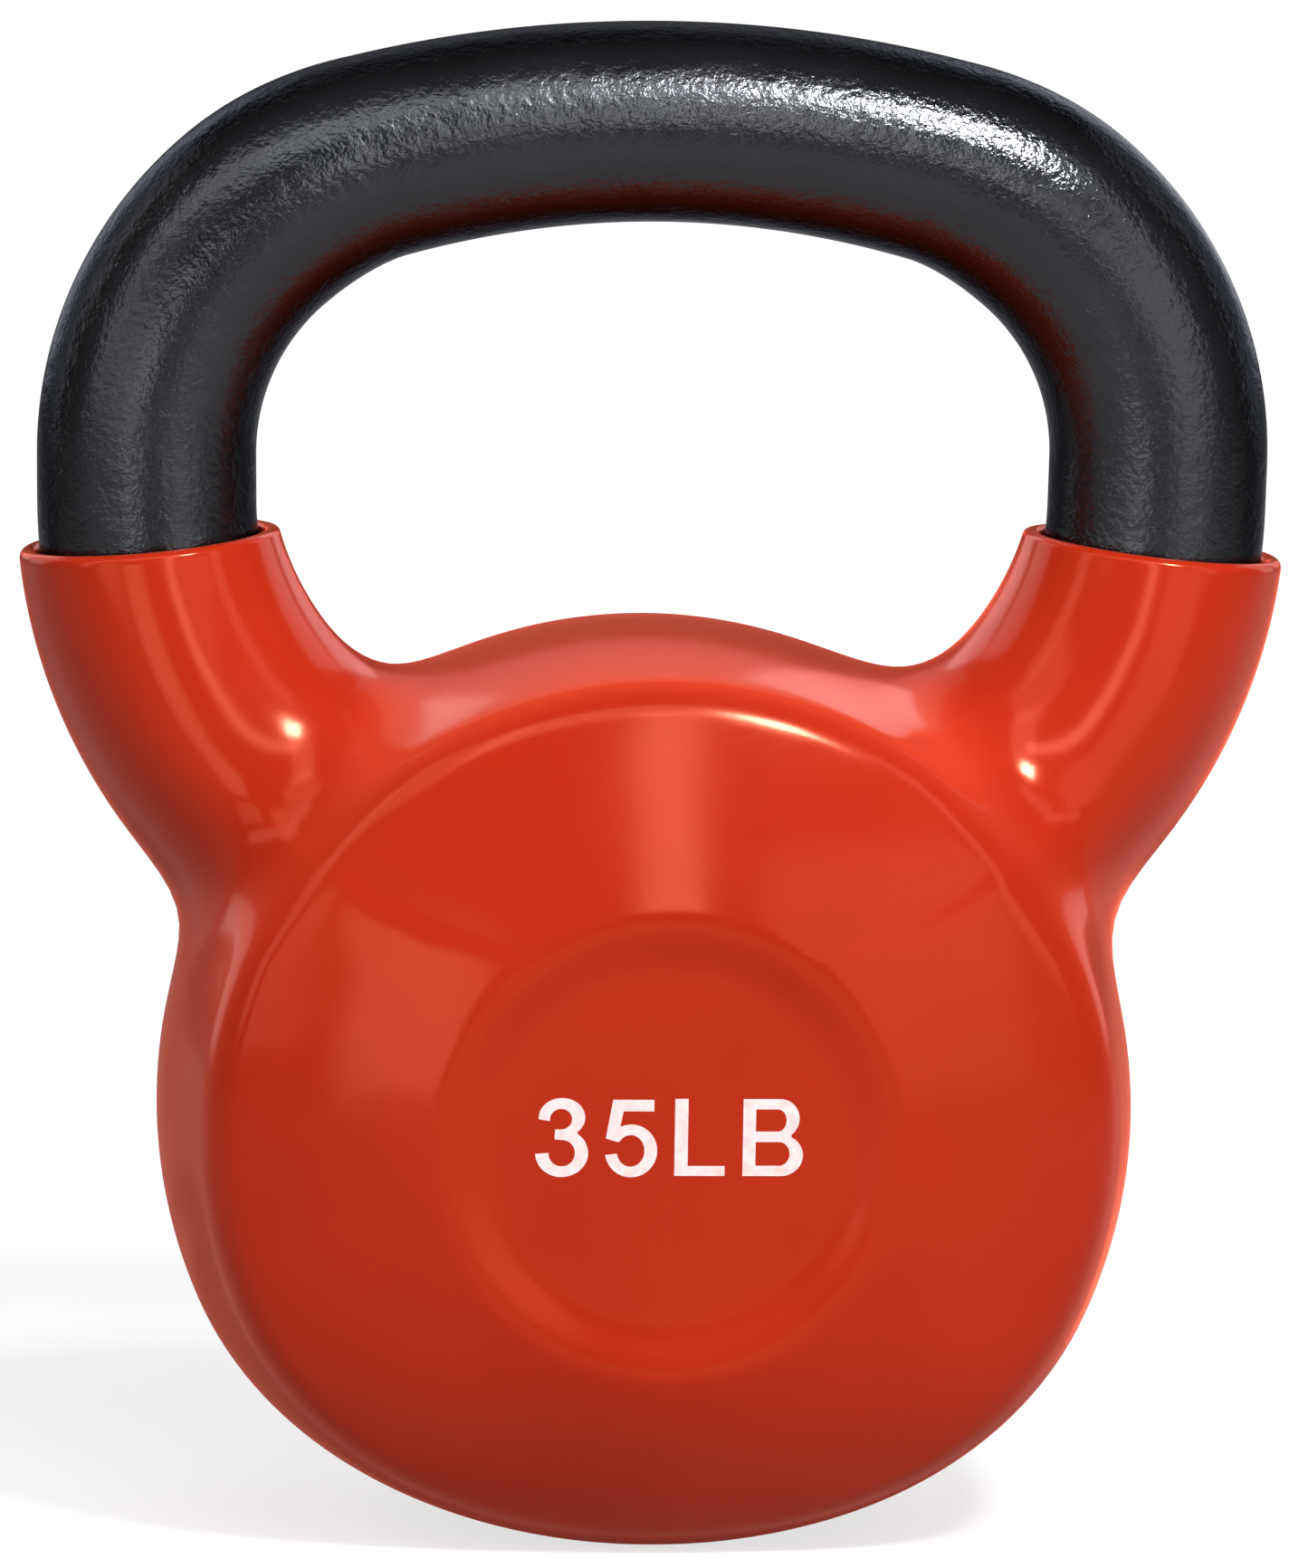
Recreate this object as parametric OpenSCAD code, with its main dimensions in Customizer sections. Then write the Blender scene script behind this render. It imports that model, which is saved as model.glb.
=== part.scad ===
// Cast-iron kettlebell in a thick moulded vinyl jacket, standing on its flat base.
//
// The iron is one casting: a bell, two horns and the handle that joins them. The jacket covers
// the bell and the horns and ends in two collars round the legs of the handle.
//
// One blended form describes both pieces: a drum with domed faces and a rounded shoulder, grown
// together with two tapering horns. The jacket's outside is that form, and the casting under it
// is the same form one wall thickness further in, so the two meet face to face.
//
// The origin is on the floor under the middle of the bell. +Z is up, X runs along the handle
// and the two domed faces look along -Y and +Y.

/* [Bell] */
// Radius of the bell, seen from the front
bell_radius = 84; // [81:0.2:87]
// Height of the middle of the bell over the floor
bell_centre = 72.6; // [71:0.2:75]
// Thickness of the bell from dome to dome
bell_depth = 115.2; // [104:0.2:120]
// Radius of the two domed faces
dome_radius = 190; // [160:5:260]
// Radius of the barrel-shaped side, across the thickness
barrel_radius = 130; // [100:5:200]
// Width over which a face rounds into the side
shoulder_blend = 4; // [2:0.5:8]
// Width over which the side rounds in towards the underside
base_blend = 66; // [54:1:72]
// How far under the floor the rounded underside would end if it weren't cut flat
base_drop = 2; // [1.4:0.1:4]

/* [Recess] */
// Radius of the round recess in each face, at half its depth
recess_radius = 36; // [30:0.5:40]
// Depth of the recess
recess_depth = 2.2; // [1:0.2:4]
// How far the sloping edge of the recess runs outwards for each millimetre of its depth
recess_draft = 1.8; // [1:0.1:2.2]
// Width over which the edges of the recess are softened
recess_blend = 2.4; // [1.5:0.1:4]

/* [Handle] */
// Height of the middle of the grip over the floor
grip_height = 242.5; // [235:0.5:250]
// Radius of the gentle arc along the grip
grip_arc = 187; // [150:1:260]
// Turn, from the middle of the grip, at which the corner starts
corner_start = 15; // [12:0.5:18]
// Radius of the two corners of the handle
corner_arc = 52.4; // [48:0.1:56]
// Radius of the iron at the middle of the grip
grip_radius = 17.2; // [16:0.2:18.4]
// Radius of the iron in the corners and the legs
leg_radius = 18.8; // [17.6:0.1:19.2]
// Turn at which the corner ends and the straight leg begins
leg_turn = 91; // [89:0.5:93]
// Length of the straight part of a leg
leg_length = 8; // [5:0.1:14]

/* [Horns] */
// Radius of the arc that a horn follows down into the bell
horn_arc = 73.6; // [68:0.2:80]
// Turn at which the collar ends, which also tilts its rim
rim_turn = 96; // [94:0.2:97]
// Outer radius of the collar at its rim
rim_radius = 22.4; // [22.2:0.1:23.4]
// Growth of a horn's half width towards the window, for each degree of turn below its rim
horn_flare = 0.15; // [0.1:0.01:0.26]
// Growth of a horn's half depth for each degree of turn below its rim
horn_swell = 0.2; // [0.1:0.02:0.34]
// Width over which horns and bell grow together
horn_blend = 12; // [9:1:18]

/* [Jacket] */
// Thickness of the vinyl
wall = 2.6; // [2:0.1:3]
// Depth of the open groove between the collar and the leg
groove_depth = 8; // [5:0.5:10]

/* [Hidden] */

// Divisions round the bell, and those that each horn takes up
BELL_STEPS = 48;
HORN_FIRST = 3;
HORN_LAST = 10;
// Stations of the bell's profile on a face outside the recess
FACE_STEPS = 2;
// Rings between the bell and the first full ring of a horn, and above that up to the rim
ROOT_RINGS = 7;
// Rings of the rounded lip, and from the leg to the middle of the grip
LIP_RINGS = 4;
CORNER_RINGS = 12;
GRIP_RINGS = 7;
// Stations of the bell's profile over the edge of the recess, by their distance from its foot
RECESS_STATIONS = [-4.5, -2.4, -0.4, 1.6, 4];
// Stations of the profile over the shoulder, as shares of how far its rounding reaches
SHOULDER_STATIONS = [-1, -0.45, 0, 0.45, 1];
// How far the rounding of the shoulder reaches from the corner, for each millimetre of its blend
SHOULDER_REACH = 1.4;
// Stations between the middle of the side and the edge of the opening that a horn grows from
PATCH_HALF = 5;
// Turns under the rim between which a horn grows, so that it ends well within the bell
HORN_TURNS = [-10, 60];
// Turn from the middle of the grip over which the iron grows to the thickness of the legs
TAPER_TURN = 40;
// How far the first full ring of a horn lies under the bottom of the groove
RING_MARGIN = 2;
// Steps that bring a point onto the form, and the size of the box that cuts the base flat
SETTLE_STEPS = 14;
CUT_SIZE = 400;

half_depth = bell_depth / 2;
shoulder_reach = shoulder_blend * SHOULDER_REACH;
// Centres of the arcs of the side and of a face in the bell's profile, as [radius, y], and the
// corner where the two arcs would meet if the shoulder weren't rounded
side_pivot = [bell_radius - barrel_radius, 0];
face_pivot = [0, half_depth - dome_radius];
pivot_way = unit(face_pivot - side_pivot);
pivot_gap = norm(face_pivot - side_pivot);
corner_along = (barrel_radius ^ 2 - dome_radius ^ 2 + pivot_gap ^ 2) / (2 * pivot_gap);
corner_up = sqrt(barrel_radius ^ 2 - corner_along ^ 2);
shoulder = side_pivot + corner_along * pivot_way + corner_up * [-pivot_way.y, pivot_way.x];
recess_drop = dome_radius - sqrt(dome_radius ^ 2 - recess_radius ^ 2);
recess_floor = half_depth - recess_drop - recess_depth;
// How far under the floor the plain drum would reach, and the plane that the underside rounds in
// towards, so that the rounding leaves just base_drop of that
drum_drop = bell_radius - bell_centre;
base_plane = drum_drop + base_blend - 2 * sqrt(base_blend * (drum_drop - base_drop));

// Centres of the three arcs of the right half of the centreline, as [x, z], and the straight
// step of the leg between the second and the third
grip_pivot = [0, grip_height - grip_arc];
corner_pivot = grip_pivot + (grip_arc - corner_arc) * [sin(corner_start), cos(corner_start)];
leg_step = leg_length * [cos(leg_turn), -sin(leg_turn)];
horn_pivot = corner_pivot + (corner_arc - horn_arc) * [sin(leg_turn), cos(leg_turn)] + leg_step;
// Turn of one millimetre along a horn, and the turn of the first full ring under the rim
turn_per_mm = 180 / (PI * horn_arc);
full_ring_turn = rim_turn + (groove_depth + RING_MARGIN) * turn_per_mm;

// ---- Blends ----

// Smooth union of two distances, rounded over a width w
function grown(a, b, w) = min(a, b) - max(w - abs(a - b), 0) ^ 2 / (4 * w);

// Smooth intersection of two distances, rounded over a width w
function trimmed(a, b, w) = -grown(-a, -b, w);

function unit(v) = v / norm(v);

function ease(t) = let (u = min(max(t, 0), 1)) u * u * (3 - 2 * u);

// ---- The blended form: how far a point lies outside it, negative inside ----

function drum(p) =
    let (across = norm([p.x, p.z - bell_centre]),
         side = norm([across + barrel_radius - bell_radius, p.y]) - barrel_radius,
         face = norm([across, abs(p.y) + dome_radius - half_depth]) - dome_radius)
    trimmed(side, face, shoulder_blend);

function recess(p) =
    let (across = norm([p.x, p.z - bell_centre]),
         deep = abs(p.y) - recess_floor,
         slope = across - recess_radius - recess_draft * (deep - recess_depth / 2))
    trimmed(slope / norm([1, recess_draft]), -deep, recess_blend);

function horn(p) =
    let (dx = abs(p.x) - horn_pivot.x,
         dz = p.z - horn_pivot.y,
         out = norm([dx, dz]) - horn_arc,
         below_rim = min(max(atan2(-dx, -dz) + 180 - rim_turn, HORN_TURNS[0]), HORN_TURNS[1]),
         half_width = rim_radius + (out < 0 ? horn_flare * below_rim : 0),
         half_deep = rim_radius + horn_swell * below_rim)
    (norm([out / half_width, p.y / half_deep]) - 1) * half_width;

function form(p) =
    let (body = grown(drum(p), horn(p), horn_blend),
         footed = trimmed(body, -p.z - base_plane, base_blend))
    trimmed(footed, -recess(p), recess_blend);

// Moves p along d until it lies a distance inset within the form. Inside the jacket it also
// stays that far over the floor, which leaves the flat foot of the iron on an even floor of vinyl.
function settle(p, d, inset, steps = SETTLE_STEPS) =
    steps > 0 ? settle(p - (form(p) + inset) * d, d, inset, steps - 1)
    : inset > 0 ? [p.x, p.y, max(p.z, inset)]
    : p;

// ---- The bell: stations of its half profile as [radius, y, direction], 90 being along -Y ----

// The directions fan out from one spot within the bell, so that no two of them cross
function station(r, y, hub) = [r, y, atan2(y, max(r - hub, 0))];

function on_face(r, hub) = station(r, face_pivot.y + sqrt(dome_radius ^ 2 - r ^ 2), hub);
function on_side(y, hub) = station(side_pivot.x + sqrt(barrel_radius ^ 2 - y ^ 2), y, hub);

function profile(inset) =
    let (foot = recess_radius + inset,
         hub = foot + RECESS_STATIONS[4],
         last = shoulder.x - shoulder_reach)
    concat(
        [for (r = RECESS_STATIONS) on_face(foot + r, hub)],
        [for (i = [1:FACE_STEPS]) on_face(hub + (last - hub) * i / (FACE_STEPS + 1), hub)],
        [for (share = SHOULDER_STATIONS)
            share < 0 ? on_face(shoulder.x + share * shoulder_reach, hub)
                      : on_side(shoulder.y - share * shoulder_reach, hub)],
        [on_side((shoulder.y - shoulder_reach) / 2, hub)]);

// The whole profile from the front to the back
function stations(inset) =
    let (half = profile(inset), n = len(half))
    concat([for (s = half) [s[0], -s[1], -s[2]]],
           [[bell_radius, 0, 0]],
           [for (i = [n - 1:-1:0]) half[i]]);

STATIONS = len(stations(0));
MIDDLE = (STATIONS - 1) / 2;
PATCH_WIDE = HORN_LAST - HORN_FIRST;
LOOP = 2 * (PATCH_WIDE + 2 * PATCH_HALF);

function bell_way(turn, a) = [cos(a) * sin(turn), sin(a), cos(a) * cos(turn)];

function bell_points(inset) =
    let (line = stations(inset))
    [for (i = [0:BELL_STEPS - 1], s = line)
        let (turn = 360 * i / BELL_STEPS,
             seed = [s[0] * sin(turn), s[1], bell_centre + s[0] * cos(turn)])
        settle(seed, bell_way(turn, s[2]), inset)];

function at(i, j) = (i % BELL_STEPS) * STATIONS + j;

// The opening that the right horn grows from, as [division, station], from its outer middle
// over the back, the inside and the front
patch = concat(
    [for (j = [0:PATCH_HALF - 1]) [HORN_LAST, MIDDLE + j]],
    [for (i = [0:PATCH_WIDE - 1]) [HORN_LAST - i, MIDDLE + PATCH_HALF]],
    [for (j = [0:2 * PATCH_HALF - 1]) [HORN_FIRST, MIDDLE + PATCH_HALF - j]],
    [for (i = [0:PATCH_WIDE - 1]) [HORN_FIRST + i, MIDDLE - PATCH_HALF]],
    [for (j = [0:PATCH_HALF - 1]) [HORN_LAST, MIDDLE - PATCH_HALF + j]]);

function in_patch(i, j) =
    abs(j + 0.5 - MIDDLE) < PATCH_HALF
    && ((i >= HORN_FIRST && i < HORN_LAST)
        || (i >= BELL_STEPS - HORN_LAST && i < BELL_STEPS - HORN_FIRST));

// Clockwise faces of the bell, seen from outside, without the two openings
function bell_faces(start) =
    concat(
        [for (i = [0:BELL_STEPS - 1], j = [0:STATIONS - 2]) if (!in_patch(i, j))
            [start + at(i, j), start + at(i, j + 1), start + at(i + 1, j + 1), start + at(i + 1, j)]],
        [[for (i = [0:BELL_STEPS - 1]) start + at(i, 0)]],
        [[for (i = [BELL_STEPS - 1:-1:0]) start + at(i, STATIONS - 1)]]);

function turned(faces) = [for (f = faces) [for (i = [len(f) - 1:-1:0]) f[i]]];

// ---- The horns and the handle: rings of LOOP points across the centreline ----

function ring_way(turn, k) =
    let (a = 360 * k / LOOP) [cos(a) * sin(turn), sin(a), cos(a) * cos(turn)];

// A round ring at a turn along an arc of the centreline
function ring(pivot, arc, turn, radius) =
    [for (k = [0:LOOP - 1])
        [pivot.x + arc * sin(turn), 0, pivot.y + arc * cos(turn)] + radius * ring_way(turn, k)];

// A full ring of the horn
function horn_ring(turn, inset) =
    let (seeds = ring(horn_pivot, horn_arc, turn, rim_radius - inset))
    [for (k = [0:LOOP - 1]) settle(seeds[k], ring_way(turn, k), inset)];

// The rings between the opening in the bell and the first full ring, nearest the bell first
function root_rings(inset) =
    let (line = stations(inset),
         rim = horn_ring(full_ring_turn, inset),
         turns = [for (c = patch) 360 * c[0] / BELL_STEPS],
         ways = [for (k = [0:LOOP - 1]) bell_way(turns[k], line[patch[k][1]][2])],
         base = [for (k = [0:LOOP - 1])
                    let (s = line[patch[k][1]])
                    settle([s[0] * sin(turns[k]), s[1], bell_centre + s[0] * cos(turns[k])],
                           ways[k], inset)])
    concat(
        [for (n = [1:ROOT_RINGS - 1])
            let (t = n / ROOT_RINGS)
            [for (k = [0:LOOP - 1])
                settle(base[k] + (rim[k] - base[k]) * t,
                       unit(ways[k] * (1 - t) + ring_way(full_ring_turn, k) * t), inset)]],
        [rim]);

// Turn of a ring so many millimetres under the rim
function under_rim(depth) = rim_turn + depth * turn_per_mm;

// The collar from the first full ring up to its rounded lip and down inside it
function collar_rings() =
    let (round = wall / 2)
    concat(
        [for (depth = [groove_depth / 2]) horn_ring(under_rim(depth), 0)],
        [for (i = [0:LIP_RINGS])
            let (a = 180 * i / LIP_RINGS)
            ring(horn_pivot, horn_arc, under_rim(round * (1 - sin(a))),
                 rim_radius - round * (1 - cos(a)))],
        [for (depth = [groove_depth / 2, groove_depth]) horn_ring(under_rim(depth), wall)]);

// The iron from the collar up to the middle of the grip
function iron_radius(turn) = grip_radius + (leg_radius - grip_radius) * ease(turn / TAPER_TURN);

function iron_rings() =
    concat(
        [for (depth = [groove_depth]) horn_ring(under_rim(depth), wall)],
        [for (depth = [groove_depth / 2, 0])
            ring(horn_pivot, horn_arc, under_rim(depth), leg_radius)],
        [ring(horn_pivot, horn_arc, leg_turn, leg_radius)],
        [for (i = [CORNER_RINGS:-1:0])
            let (turn = corner_start + (leg_turn - corner_start) * i / CORNER_RINGS)
            ring(corner_pivot, corner_arc, turn, iron_radius(turn))],
        [for (i = [GRIP_RINGS - 1:-1:0])
            let (turn = corner_start * i / GRIP_RINGS)
            ring(grip_pivot, grip_arc, turn, iron_radius(turn))]);

function mirrored(rings) = [for (r = rings) [for (p = r) [-p.x, p.y, p.z]]];

function flat(lists) = [for (l = lists, p = l) p];

// Points of a ring, and of the two openings, by their place in the list
function ring_places(start, n) = [for (k = [0:LOOP - 1]) start + n * LOOP + k];
function right_opening(start) = [for (c = patch) start + at(c[0], c[1])];
function left_opening(start) = [for (c = patch) start + at(BELL_STEPS - c[0], c[1])];

// Skin between each loop and the next
function skin(loops) =
    [for (n = [0:len(loops) - 2], k = [0:LOOP - 1])
        let (m = (k + 1) % LOOP)
        [loops[n][k], loops[n + 1][k], loops[n + 1][m], loops[n][m]]];

// ---- Pieces ----

// The casting: the bell, and one tube from its right opening over the handle to its left one
module iron_casting() {
    half = concat(root_rings(wall), iron_rings());
    n = len(half);
    other = mirrored([for (i = [n - 2:-1:0]) half[i]]);
    rings = concat(half, other);
    start = BELL_STEPS * STATIONS;
    loops = concat([right_opening(0)],
                   [for (i = [0:len(rings) - 1]) ring_places(start, i)],
                   [left_opening(0)]);
    color("#26272a")
        polyhedron(points = concat(bell_points(wall), flat(rings)),
                   faces = concat(bell_faces(0), skin(loops)), convexity = 6);
}

// The jacket: an outer and an inner skin, joined round the lip of each collar
module vinyl_jacket() {
    outer = root_rings(0);
    inner = root_rings(wall);
    lip = collar_rings();
    rings = concat(outer, lip, [for (i = [len(inner) - 1:-1:0]) inner[i]]);
    n = len(rings);
    within = BELL_STEPS * STATIONS;
    right = 2 * within;
    left = right + n * LOOP;
    right_loops = concat([right_opening(0)],
                         [for (i = [0:n - 1]) ring_places(right, i)],
                         [right_opening(within)]);
    left_loops = concat([left_opening(within)],
                        [for (i = [n - 1:-1:0]) ring_places(left, i)],
                        [left_opening(0)]);
    color("#b5321f")
        difference() {
            polyhedron(points = concat(bell_points(0), bell_points(wall), flat(rings),
                                       flat(mirrored(rings))),
                       faces = concat(bell_faces(0), turned(bell_faces(within)),
                                      skin(right_loops), skin(left_loops)), convexity = 8);
            translate([0, 0, -CUT_SIZE / 2]) cube(CUT_SIZE, center = true);
        }
}

iron_casting();
vinyl_jacket();
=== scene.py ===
"""A cast-iron kettlebell in a moulded vinyl jacket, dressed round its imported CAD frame.

One blended form gives the shape of both pieces: a drum with domed faces, grown together with two
tapering horns. Blender's operators lay out each cage, and its points are then settled on the form.
"""
import logging
import math
from dataclasses import dataclass, field
from enum import Enum
from typing import Any, Callable, Sequence

import bpy
import numpy as np
from bpy.types import ID, Material, Node, NodeSocket, NodeTree, Object
from mathutils import Matrix, Vector


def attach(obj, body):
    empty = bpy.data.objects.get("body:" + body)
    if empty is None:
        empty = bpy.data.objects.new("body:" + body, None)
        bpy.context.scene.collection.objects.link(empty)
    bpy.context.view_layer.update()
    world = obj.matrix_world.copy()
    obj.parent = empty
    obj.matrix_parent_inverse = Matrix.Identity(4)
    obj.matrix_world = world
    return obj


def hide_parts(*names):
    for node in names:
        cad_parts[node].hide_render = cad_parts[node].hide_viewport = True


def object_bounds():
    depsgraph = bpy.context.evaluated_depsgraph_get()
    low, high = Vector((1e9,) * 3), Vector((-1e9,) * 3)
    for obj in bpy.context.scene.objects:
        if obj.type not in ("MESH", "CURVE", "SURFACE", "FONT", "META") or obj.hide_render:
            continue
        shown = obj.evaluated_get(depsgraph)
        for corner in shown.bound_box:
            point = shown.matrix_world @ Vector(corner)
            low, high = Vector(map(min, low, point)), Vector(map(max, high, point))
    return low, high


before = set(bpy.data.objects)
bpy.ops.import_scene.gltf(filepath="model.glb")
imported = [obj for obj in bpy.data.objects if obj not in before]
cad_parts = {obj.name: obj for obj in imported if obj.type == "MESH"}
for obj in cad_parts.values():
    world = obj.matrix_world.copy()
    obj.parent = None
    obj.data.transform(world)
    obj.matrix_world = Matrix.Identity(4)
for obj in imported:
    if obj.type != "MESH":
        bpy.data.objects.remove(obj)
CAD_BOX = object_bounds()
LOG = logging.getLogger("kettlebell")

MM = 0.001
# Mesh attribute that is 1 where the side wall and crown of the bell get painted light, a paler red that
# stands in for the light falling there, and 0 elsewhere
PAINTED_LIGHT_ATTRIBUTE = "painted_light_share"


class Slot(Enum):
    """Material slots of the record."""

    IRON = "powder_coated_iron"
    VINYL = "red_vinyl"


# ---- Small tools ----

def linear(hex_colour: str) -> tuple[float, float, float, float]:
    """Turns an sRGB hex colour to linear RGBA.

    Args:
        hex_colour: Six hex digits, with or without a leading hash.

    Returns:
        Linear red, green and blue, and an alpha of 1.
    """
    digits = hex_colour.lstrip("#")
    parts = [int(digits[i:i + 2], 16) / 255 for i in (0, 2, 4)]
    red, green, blue = (c / 12.92 if c <= 0.04045 else ((c + 0.055) / 1.055) ** 2.4 for c in parts)
    return red, green, blue, 1.0


def per_mm(size: float) -> float:
    """Gives the scale of a noise pattern whose features are about so many millimetres wide."""
    return 1000.0 / size


def add_node(tree: NodeTree, kind: str, settings: dict[str, Any] | None = None,
             **links: Any) -> Node:
    """Adds one node with its settings and links.

    Args:
        tree: The node tree that it goes in.
        kind: The node's bl_idname.
        settings: Attributes of the node, such as its operation or data type.
        **links: Inputs by name, with spaces as underscores, or by number as in0, in1 and so on.
            Each is a value, or the output socket of another node.

    Returns:
        The new node.
    """
    node = tree.nodes.new(kind)
    for name, value in (settings or {}).items():
        setattr(node, name, value)
    for name, value in links.items():
        socket = node.inputs[int(name[2:])] if name[2:].isdigit() else node.inputs[name.replace("_", " ")]
        if isinstance(value, NodeSocket):
            tree.links.new(value, socket)
        else:
            socket.default_value = value
    return node


def new_material(name: str) -> tuple[Material, NodeTree, NodeSocket]:
    """Makes a node material that holds only the object's own coordinates.

    Args:
        name: The name of the finish.

    Returns:
        The material, its node tree and the coordinates.
    """
    material = bpy.data.materials.new(name)
    material.use_nodes = True
    material.node_tree.nodes.clear()
    where = add_node(material.node_tree, "ShaderNodeTexCoord").outputs["Object"]
    return material, material.node_tree, where


def direction(azimuth: float, elevation: float) -> Vector:
    """Unit vector at an azimuth from the front towards +X, and an elevation, both in degrees."""
    a, e = math.radians(azimuth), math.radians(elevation)
    return Vector((math.sin(a) * math.cos(e), -math.cos(a) * math.cos(e), math.sin(e)))


def add_object(name: str, data: ID) -> Object:
    """Adds a lamp or camera to the scene.

    Args:
        name: Its name.
        data: The lamp or camera data.

    Returns:
        The new object.
    """
    added = bpy.data.objects.new(name, data)
    bpy.context.scene.collection.objects.link(added)
    return added


def deselect() -> None:
    if bpy.context.object and bpy.context.object.mode != "OBJECT":
        bpy.ops.object.mode_set(mode="OBJECT")
    bpy.ops.object.select_all(action="DESELECT")


def activate(piece: Object) -> None:
    """Makes one piece the only selected and active one.

    Args:
        piece: The piece.
    """
    deselect()
    piece.select_set(True)
    bpy.context.view_layer.objects.active = piece


def close_seams(piece: Object, gap_mm: float) -> None:
    """Merges the doubled points of a mesh and turns its faces outwards.

    Args:
        piece: The piece.
        gap_mm: How close points are that become one, in millimetres.
    """
    activate(piece)
    bpy.ops.object.mode_set(mode="EDIT")
    bpy.ops.mesh.select_all(action="SELECT")
    bpy.ops.mesh.remove_doubles(threshold=gap_mm * MM)
    bpy.ops.mesh.normals_make_consistent(inside=False)
    bpy.ops.object.mode_set(mode="OBJECT")


def places(piece: Object) -> np.ndarray:
    """Reads the points of a mesh.

    Args:
        piece: The piece.

    Returns:
        One row of x, y and z for each point, in millimetres.
    """
    flat = np.empty(3 * len(piece.data.vertices))
    piece.data.vertices.foreach_get("co", flat)
    return flat.reshape(-1, 3) / MM


def place(piece: Object, points: np.ndarray) -> None:
    """Writes the points of a mesh, given in millimetres."""
    piece.data.vertices.foreach_set("co", (points * MM).ravel())
    piece.data.update()


def apply_modifier(piece: Object, kind: str, **settings: Any) -> None:
    """Adds one modifier and applies it.

    Args:
        piece: The piece.
        kind: The modifier's type.
        **settings: Its settings by name.
    """
    activate(piece)
    modifier = piece.modifiers.new(kind.title(), kind)
    for name, value in settings.items():
        setattr(modifier, name, value)
    bpy.ops.object.modifier_apply(modifier=modifier.name)


# ---- The form that both pieces follow, in millimetres ----

def grown(a: np.ndarray, b: np.ndarray, width: np.ndarray | float) -> np.ndarray:
    """Smooth union of two distances, rounded over a width."""
    return np.minimum(a, b) - np.maximum(width - np.abs(a - b), 0.0) ** 2 / (4 * width)


def merged(a: np.ndarray, b: np.ndarray, width: float) -> np.ndarray:
    """Smooth union whose rounding also starts and ends softly, so that a gloss runs over it."""
    return np.minimum(a, b) - np.maximum(width - np.abs(a - b), 0.0) ** 3 / (6 * width ** 2)


def trimmed(a: np.ndarray, b: np.ndarray, width: np.ndarray | float) -> np.ndarray:
    """Smooth intersection of two distances, rounded over a width."""
    return -grown(-a, -b, width)


def ease(t: np.ndarray) -> np.ndarray:
    """Smooth step from 0 to 1."""
    u = np.clip(t, 0.0, 1.0)
    return u * u * (3 - 2 * u)


def outward(turn: float) -> np.ndarray:
    """Direction at a turn from straight up towards +X, as x and z."""
    angle = math.radians(turn)
    return np.array([math.sin(angle), math.cos(angle)])


def settled(p: np.ndarray, distance: Callable[[np.ndarray], np.ndarray], steps: int = 8,
            feel: float = 0.02, stride: float = 3.0, least: float = 0.5) -> np.ndarray:
    """Moves points straight onto the surface where a distance is nought.

    Args:
        p: Points near the surface.
        distance: Gives how far points lie outside.
        steps: How often each point is moved.
        feel: How far to each side the slope of the distance is measured.
        stride: The furthest that a point moves in one step.
        least: The least slope that is reckoned with.

    Returns:
        The points on the surface.
    """
    for _ in range(steps):
        off = distance(p)
        slope = np.stack([distance(p + feel * axis) - distance(p - feel * axis)
                          for axis in np.eye(3)], axis=1) / (2 * feel)
        steep = np.maximum((slope ** 2).sum(axis=1), least ** 2)
        move = -slope * (off / steep)[:, None]
        length = np.linalg.norm(move, axis=1, keepdims=True)
        p = p + move * np.minimum(1, stride / np.maximum(length, 1e-9))
    return p


@dataclass(frozen=True)
class Ring:
    """A round ring across the centreline of a horn or the handle, in millimetres and degrees."""

    x: float
    z: float
    turn: float
    radius: float

    @property
    def centre(self) -> Vector:
        """The ring's middle, in metres."""
        return Vector((self.x, 0.0, self.z)) * MM


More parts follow.
